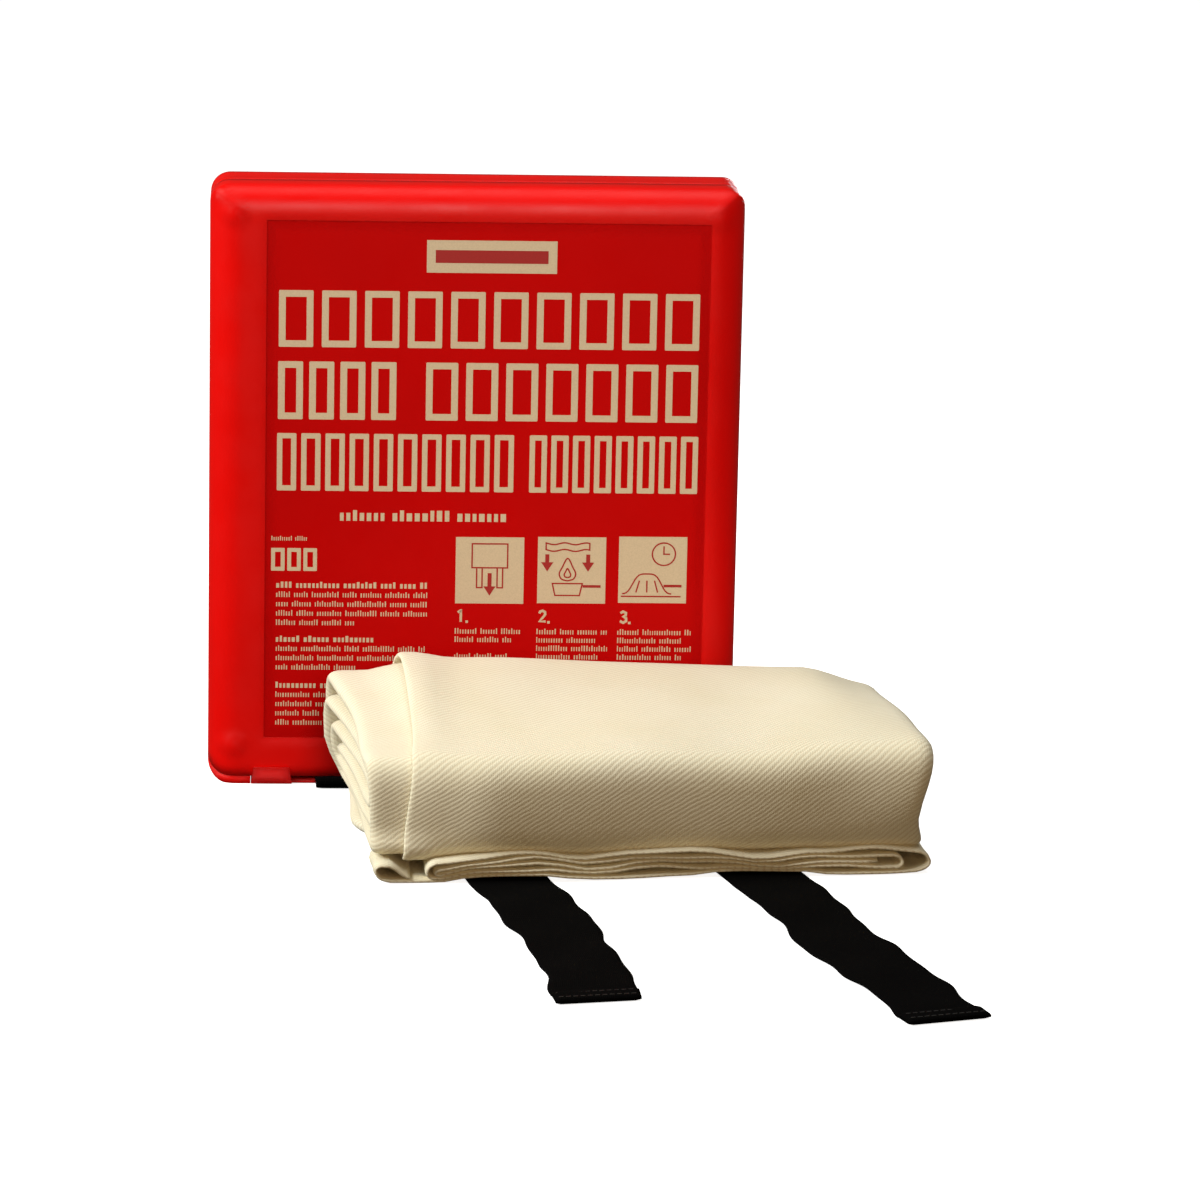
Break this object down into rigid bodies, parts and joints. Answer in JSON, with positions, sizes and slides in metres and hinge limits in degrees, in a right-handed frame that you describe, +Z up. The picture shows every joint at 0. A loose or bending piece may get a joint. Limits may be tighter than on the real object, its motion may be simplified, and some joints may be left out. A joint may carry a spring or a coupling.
{
  "type": "fire blanket",
  "caption": "Wall case for a fire blanket with a snap flap below, and an unpacked folded blanket with two pull tapes lying before it.",
  "frame": {"origin": "bottom centre of the whole set, on the surface that it stands on", "axes": "+Z up, +Y away from the viewer towards the wall, +X to the viewer's right; the case front faces -Y"},
  "size_m": [0.3602, 0.441, 0.31],
  "materials": {
    "case_plastic": "satin moulded red plastic",
    "screw_steel": "zinc plated",
    "label_sheet": "matt red label sheet with a beige print",
    "blanket_cloth": "glass fibre twill",
    "webbing": "woven black webbing",
    "tape_thread": "black sewing thread"
  },
  "bodies": {
    "unpacked_blanket": {"folded_blanket": "blanket_cloth"},
    "tape_left": {"tape_left": "webbing", "tape_left_stitching": "tape_thread"},
    "tape_right": {"tape_right": "webbing", "tape_right_stitching": "tape_thread"},
    "case": {"back_shell": "case_plastic", "front_cover": "case_plastic", "cover_screws": "screw_steel", "front_label": "label_sheet"},
    "flap": {"bottom_flap": "case_plastic"},
    "pack": {"packed_blanket": "blanket_cloth", "packed_tape_left": "webbing", "packed_tape_right": "webbing"}
  },
  "joints": [
    {"name": "case_lift", "type": "slide", "parent": "unpacked_blanket", "child": "case", "axis": [0, 0, 1], "range_m": [0, 0.45]},
    {"name": "pack_pull", "type": "slide", "parent": "case", "child": "pack", "axis": [0, 0, -1], "range_m": [0, 0.28], "deforming": ["packed_blanket", "packed_tape_left", "packed_tape_right"]},
    {"name": "flap_hinge", "type": "hinge", "parent": "case", "child": "flap", "pos_m": [-0.04514, 0.21508, 0.0032], "axis": [1, 0, 0], "range_deg": [0, 90]},
    {"name": "tape_left_lift", "type": "hinge", "parent": "unpacked_blanket", "child": "tape_left", "pos_m": [-0.03074, -0.00173, 0.0007], "axis": [-0.9839, -0.1788, 0], "range_deg": [0, 75]},
    {"name": "tape_right_lift", "type": "hinge", "parent": "unpacked_blanket", "child": "tape_right", "pos_m": [0.09508, 0.00764, 0.0007], "axis": [-0.9588, -0.284, 0], "range_deg": [0, 75]}
  ],
  "couplings": [
    {"joint": "flap_hinge", "follows": "pack_pull", "rad_per_m": 5.6099}
  ]
}
